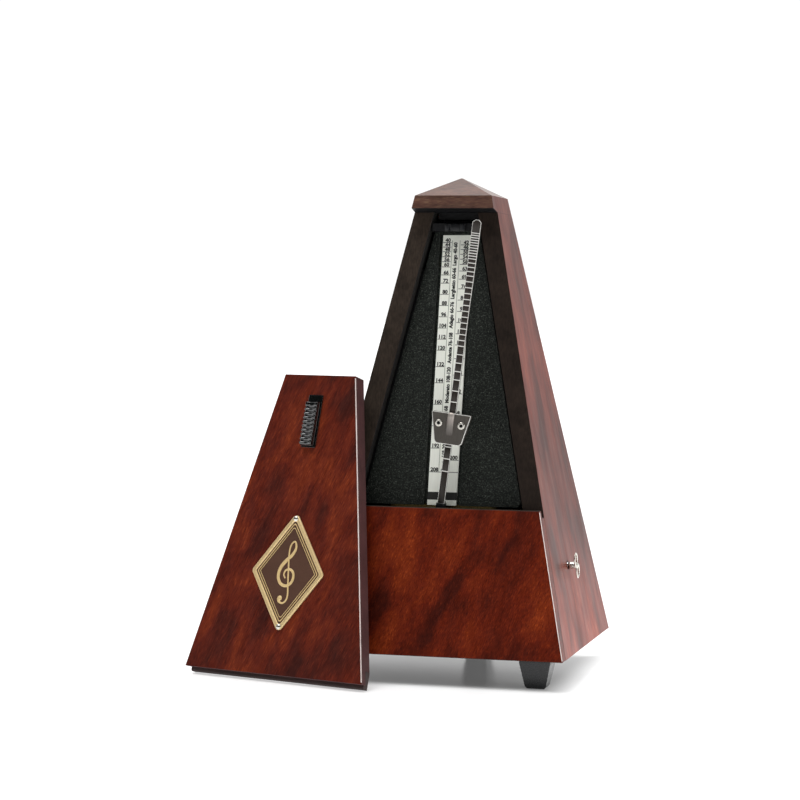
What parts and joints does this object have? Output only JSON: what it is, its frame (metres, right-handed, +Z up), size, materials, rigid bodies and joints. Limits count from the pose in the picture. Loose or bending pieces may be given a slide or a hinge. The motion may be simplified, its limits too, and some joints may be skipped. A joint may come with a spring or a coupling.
{
  "type": "metronome",
  "caption": "Wind-up pyramid metronome: tapered wooden case on feet, lid leaning beside it, swinging notched rod with sliding weight over a tempo scale.",
  "frame": {"origin": "centre of the whole object's footprint box on the floor, the leaning lid included", "axes": "+Z up, -Y towards the scale side (front), +X towards the winding key (right)"},
  "size_m": [0.1708, 0.1432, 0.222],
  "materials": {
    "mahogany_veneer": "satin lacquered",
    "dark_wood": "satin",
    "black_foot": "gloss",
    "black_grained_metal": "fine pebbled",
    "scale_print": "satin",
    "black_plastic": "satin",
    "steel": "brushed",
    "grey_lacquered_metal": "brushed satin",
    "bright_nickel": "polished",
    "brass": "satin",
    "gilt_brass": "polished"
  },
  "bodies": {
    "case": {"left_side_board": "mahogany_veneer", "right_side_board": "mahogany_veneer", "rear_board": "mahogany_veneer", "front_panel": "mahogany_veneer", "bottom_board": "dark_wood", "cap": "mahogany_veneer", "foot_front_left": "black_foot", "foot_front_right": "black_foot", "foot_rear": "black_foot", "foot_screws": "steel", "recess_panel": "black_grained_metal", "scale_plate": "scale_print", "scale_carrier": "black_grained_metal", "left_panel_rail": "dark_wood", "right_panel_rail": "dark_wood", "top_crossbar": "dark_wood", "rod_clip": "black_plastic", "slot_ledge": "dark_wood", "left_plate": "brass", "right_plate": "brass", "left_arbor_bush": "brass", "right_arbor_bush": "brass", "plate_pillars": "steel", "plate_screws": "steel", "left_foot_bracket": "steel", "right_foot_bracket": "steel", "escape_bridge": "brass", "bridge_posts": "steel", "front_verge_bar": "brass", "rear_verge_cock": "brass", "mainspring": "steel"},
    "pendulum": {"pendulum_rod": "steel", "pendulum_hub": "black_plastic", "pendulum_arm": "steel", "pendulum_bob": "steel", "verge_arbor": "steel", "pallets": "steel"},
    "tempo_weight": {"weight_plate": "grey_lacquered_metal", "weight_leaf": "steel", "weight_rivets": "bright_nickel"},
    "lid": {"lid_board": "mahogany_veneer", "lid_tongue": "dark_wood", "emblem_plate": "gilt_brass", "emblem_pins": "gilt_brass", "latch_base": "black_plastic"},
    "lid_latch": {"latch_button": "black_plastic", "latch_bolt": "steel"},
    "winding_set": {"winding_key": "bright_nickel", "winding_arbor": "steel", "ratchet_wheel": "steel"},
    "great_wheel_set": {"great_wheel": "brass", "click_screw": "steel", "click_spring": "steel"},
    "click_lever": {"click": "steel"},
    "second_set": {"second_wheel": "brass", "second_arbor": "steel"},
    "escape_set": {"escape_wheel": "brass", "escape_arbor": "steel"}
  },
  "joints": [
    {"name": "pendulum_swing", "type": "hinge", "parent": "case", "child": "pendulum", "pos_m": [0.02543, -0.02494, 0.0727], "axis": [0, 1, 0], "range_deg": [-26.85, 13.15]},
    {"name": "weight_slide", "type": "slide", "parent": "pendulum", "child": "tempo_weight", "axis": [0.1193, 0, 0.9929], "range_m": [-0.02577, 0.0792]},
    {"name": "lid_lift", "type": "slide", "parent": "case", "child": "lid", "axis": [0, 0, 1], "range_m": [0, 0.235]},
    {"name": "latch_slide", "type": "slide", "parent": "lid", "child": "lid_latch", "axis": [0.0809, 0.2559, 0.9633], "range_m": [0, 0.003]},
    {"name": "great_wheel_turn", "type": "hinge", "parent": "case", "child": "great_wheel_set", "pos_m": [0.00943, 0.00386, 0.0495], "axis": [1, 0, 0], "continuous": true},
    {"name": "winding_key_turn", "type": "hinge", "parent": "case", "child": "winding_set", "pos_m": [0.02543, 0.00386, 0.0495], "axis": [1, 0, 0], "continuous": true},
    {"name": "second_arbor_turn", "type": "hinge", "parent": "case", "child": "second_set", "pos_m": [0.02543, 0.01215, 0.0688], "axis": [1, 0, 0], "continuous": true},
    {"name": "escape_arbor_turn", "type": "hinge", "parent": "case", "child": "escape_set", "pos_m": [0.01743, -0.00234, 0.0727], "axis": [1, 0, 0], "continuous": true},
    {"name": "click_lift", "type": "hinge", "parent": "great_wheel_set", "child": "click_lever", "pos_m": [0.01133, 0.01382, 0.05222], "axis": [-1, 0, 0], "range_deg": [0, 9], "stiffness_Nm_per_rad": 0.0002, "springref_deg": -5.73, "deforming": ["click_spring"]}
  ],
  "couplings": [
    {"joint": "winding_key_turn", "follows": "great_wheel_turn", "ratio": 1},
    {"joint": "second_arbor_turn", "follows": "great_wheel_turn", "ratio": -6},
    {"joint": "escape_arbor_turn", "follows": "great_wheel_turn", "ratio": 30}
  ]
}
